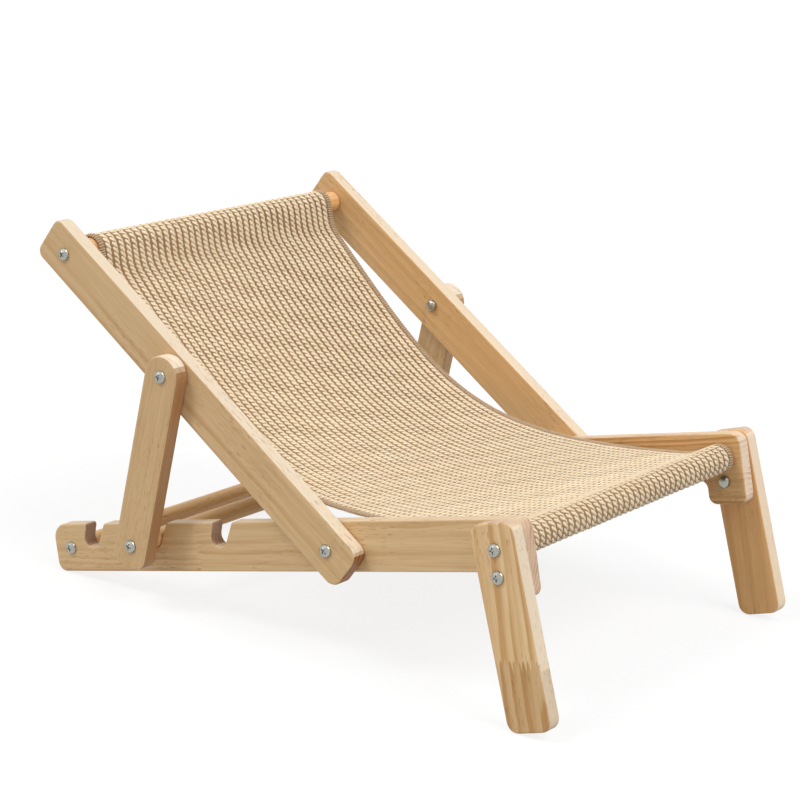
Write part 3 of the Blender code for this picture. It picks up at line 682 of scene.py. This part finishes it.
def cords(strip, name, sides, half_width, material):
    """Two-ply cords. Each ply is a tube that winds round its cord's middle line, flattened a little."""
    along = np.arange(CORD_INSET, strip.length - CORD_INSET, CORD_STEP)[None]
    side = np.repeat(sides, 2)[:, None]
    seeds = side * CORD_SEED
    ply = np.tile([0.0, np.pi], len(sides))[:, None]
    angle = ply - 2 * np.pi * along / CORD_TWIST + wander(along, seeds, *TWIST_WANDER)
    loose = ramp((along - strip.open[0]) / DRIFT_RISE) * ramp((strip.open[1] - along) / DRIFT_RISE)
    drift = CORD_DRIFT * loose * np.cos(side / half_width * np.pi / 2)
    shift = side - drift + wander(along, seeds + SIDE_SEED, *SIDE_WANDER)
    height = CORD_FLATNESS * CORD_OFFSET * np.sin(angle)
    centre = strip.place(along, shift + CORD_OFFSET * np.cos(angle), height)
    core = strip.place(along, shift, 0)
    up = (strip.place(along, shift, 1) - core)[:, :, None]
    swell = 1 + wander(along, seeds + GIRTH_SEED * ply, *GIRTH_WANDER)
    offset = rings_about(centre, core, (STRAND_RADIUS * swell)[..., None, None], STRAND_SIDES)
    lift = np.sum(offset * up, axis=3, keepdims=True)
    offset -= (1 - CORD_FLATNESS) * lift * up
    return skin(name, centre[:, :, None] + offset, material, np.broadcast_to(along, centre.shape[:2]))


def half_pitches(sides):
    """Places across the strip at each cord, halfway between them and outside the outer ones."""
    half = (sides[1] - sides[0]) / 2
    return sides[0] + half * np.arange(-1, 2 * len(sides))


def cross_yarns(strip, sides, material):
    """Thin yarns across the strip, one for each bead of the cords, that show between the cords."""
    places = np.arange(CORD_TWIST / 4, strip.length - YARN_INSET, CORD_TWIST / 2)
    stops = half_pitches(sides)
    wave = np.where(np.arange(len(stops)) % 2, YARN_WAVE, -YARN_WAVE)
    along = places[:, None] + wave[None]
    turn = circle(YARN_SIDES)
    runs = along[:, :, None] + YARN_RADIUS * np.cos(turn)
    heights = wave[None, :, None] + YARN_RADIUS * np.sin(turn)
    rings = strip.place(runs, stops[None, :, None], heights)
    return skin("sling_cross_yarns", rings, material, np.broadcast_to(stops, along.shape))


def backing(strip, sides, material):
    """A thin dark sheet under the cords, whose colour is painted shade in the gaps between them."""
    along = np.arange(0.0, strip.length, CORD_TWIST / 4)
    stops = half_pitches(sides)
    ring = np.concatenate([stops, stops[::-1]])
    height = np.repeat([BACKING_HALF, -BACKING_HALF], len(stops))
    rings = strip.place(along[None, :, None], ring, height)
    return skin("sling_gap_shade_sheet", rings, material, along[None])


def squared(turn):
    """The cosine of an angle, squared off so that a ring keeps its width near its sides."""
    return np.sign(np.cos(turn)) * np.abs(np.cos(turn)) ** EDGE_SQUARENESS


def edging(strip, name, sign, outer, material):
    """The edge's folded band, rounded and a little uneven."""
    along = np.arange(0.0, strip.length, STITCH_PITCH / 2)
    turn = circle(EDGE_SIDES, 0.5)
    swell = 1 + wander(along, sign * BAND_SEED, *BAND_WANDER)[:, None]
    half = EDGE_WIDTH / 2 - THREAD_RADIUS
    side = sign * (outer - EDGE_WIDTH / 2) + half * squared(turn)[None] * swell
    rings = strip.place(along[None, :, None], side[None], EDGE_HEIGHT * np.sin(turn)[None] * swell)
    return skin(name, rings, material, along[None])


def whipping(strip, name, sign, outer, material):
    """The overlock thread: one thread wound round the edge's band, leaning as it crosses it."""
    turns = strip.length / STITCH_PITCH - 1
    turn = np.arange(0.0, 2 * np.pi * turns, 2 * np.pi / THREAD_STEPS)[None]
    along = STITCH_PITCH * (turn / (2 * np.pi) + 0.5 + THREAD_LEAN * np.cos(turn))
    along = along + wander(along, sign * THREAD_SEED, *THREAD_WANDER)
    half = EDGE_WIDTH / 2 - THREAD_RADIUS
    side = sign * (outer - EDGE_WIDTH / 2 + half * squared(turn))
    centre = strip.place(along, side, (EDGE_HEIGHT + THREAD_RADIUS * THREAD_PROUD) * np.sin(turn))
    core = strip.place(along, sign * (outer - EDGE_WIDTH / 2), 0)
    return thread_skin(name, centre, core, material, along)


def stitching(strip, sides, material):
    """The rows of stitches that close the two hems, on the faces where they show."""
    rows = np.array([HEM_TAIL, strip.length - HEM_TAIL])[:, None]
    side = np.arange(sides[0], sides[-1], SEAM_PITCH / SEAM_STEPS)[None]
    showing = SEAM_SHOWING[0] + SEAM_SHOWING[1] * np.cos(2 * np.pi * side / SEAM_PITCH)
    height = SEAM_HEIGHT * ramp(showing)
    along = rows + wander(side, rows * SEAM_SEED, *SEAM_WANDER)
    centre = strip.place(along, side, height)
    core = strip.place(along, side, height - 1)
    return thread_skin("sling_hem_stitches", centre, core, material, np.broadcast_to(side, along.shape))


def make_sling():
    """The whole strip in one weave, bending at the chair's hinge."""
    strip = Strip()
    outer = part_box("sling_seat")[1].y
    inner = outer - EDGE_WIDTH
    count = round(2 * inner / CORD_PITCH)
    sides = (np.arange(count) - (count - 1) / 2) * 2 * inner / count
    half = count // 2
    twine = sisal("sisal_cord", darker_from=strip.open[1] - FRONT_HEM_LEAD)
    folded = sisal("folded_edge")
    thread = sisal("edge_thread")
    # A dark sheet under the cords, for the painted shade in their gaps.
    sheet = backing(strip, sides, sisal("sisal_gap_shade"))
    others = [
        cords(strip, "sling_cords_near", sides[:half], inner, twine),
        cords(strip, "sling_cords_far", sides[half:], inner, twine),
        cross_yarns(strip, sides, sisal("sisal_cross_yarn")),
        edging(strip, "near_sling_edge", -1, outer, folded),
        edging(strip, "far_sling_edge", 1, outer, folded),
        whipping(strip, "near_sling_thread", -1, outer, thread),
        whipping(strip, "far_sling_thread", 1, outer, thread),
        stitching(strip, sides, thread),
    ]
    for piece in [sheet] + others:
        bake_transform(piece)
    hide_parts("sling_back", "sling_fold", "sling_seat")


def make_floor():
    """A pale floor that reads as white and keeps the chair's soft shadow. From below it is clear."""
    bpy.ops.mesh.primitive_plane_add(size=FLOOR_SIZE, location=(0, 0, -FLOOR_DROP))
    floor = bpy.context.object
    floor.name = "floor"
    g = new_material("pale_floor")
    rays = g.add("ShaderNodeLightPath")
    seen = g.math("MAXIMUM", rays["Is Camera Ray"], rays["Is Glossy Ray"])
    paper = g.add("ShaderNodeBsdfDiffuse", g.mix(seen, grey(FLOOR_COLOUR), grey(FLOOR_SEEN_COLOUR)))[0]
    glow = g.add("ShaderNodeEmission", WHITE, g.math("MULTIPLY", seen, FLOOR_GLOW))[0]
    above = g.add("ShaderNodeAddShader", paper, glow)[0]
    below = g.add("ShaderNodeBsdfTransparent")[0]
    under = g.add("ShaderNodeNewGeometry")["Backfacing"]
    g.add("ShaderNodeOutputMaterial", g.add("ShaderNodeMixShader", under, above, below)[0])
    floor.data.materials.append(g.owner)


def make_world():
    """An even white sky: full strength for the camera and reflections, softer as a light."""
    world = bpy.data.worlds.new("studio")
    bpy.context.scene.world = world
    g = Graph(world)
    rays = g.add("ShaderNodeLightPath")
    seen = g.math("MAXIMUM", rays["Is Camera Ray"], rays["Is Glossy Ray"])
    level = g.add("ShaderNodeMapRange", seen, None, None, SKY_LEVEL)[0]
    g.add("ShaderNodeOutputWorld", g.add("ShaderNodeBackground", WHITE, level)[0])


def make_lamps():
    """Two broad soft lamps, high on the left and on the right, and a weak low one for the metal."""
    for name, spot, strength, width in LAMPS:
        lamp = bpy.data.lights.new(name, "SUN")
        lamp.energy = strength
        lamp.angle = math.radians(width)
        light = bpy.data.objects.new(name, lamp)
        light.rotation_mode = "QUATERNION"
        light.rotation_quaternion = Vector(spot).to_track_quat("Z", "Y")
        bpy.context.collection.objects.link(light)


def make_camera():
    """The camera at the photograph's place and angle."""
    data = bpy.data.cameras.new("camera")
    data.lens = CAMERA_LENS
    data.sensor_width = SENSOR
    data.sensor_fit = "HORIZONTAL"
    data.clip_end = CAMERA_REACH
    camera = bpy.data.objects.new("camera", data)
    turn = Matrix.Rotation(math.radians(CAMERA_AZIMUTH), 4, "Z")
    nod = Matrix.Rotation(math.radians(90 + CAMERA_PITCH), 4, "X")
    roll = Matrix.Rotation(math.radians(CAMERA_ROLL), 4, "Z")
    away = Vector((CAMERA_ALONG, CAMERA_SIDE, CAMERA_SQUARE))
    spot = CROSSBAR + Matrix.Rotation(-TILT, 3, "Y") @ away
    camera.matrix_world = Matrix.Translation(spot) @ turn @ nod @ roll
    bpy.context.collection.objects.link(camera)
    bpy.context.scene.camera = camera


paint_frame()
make_sling()
make_floor()
make_world()
make_lamps()
make_camera()
bpy.context.scene.view_settings.view_transform = "Standard"
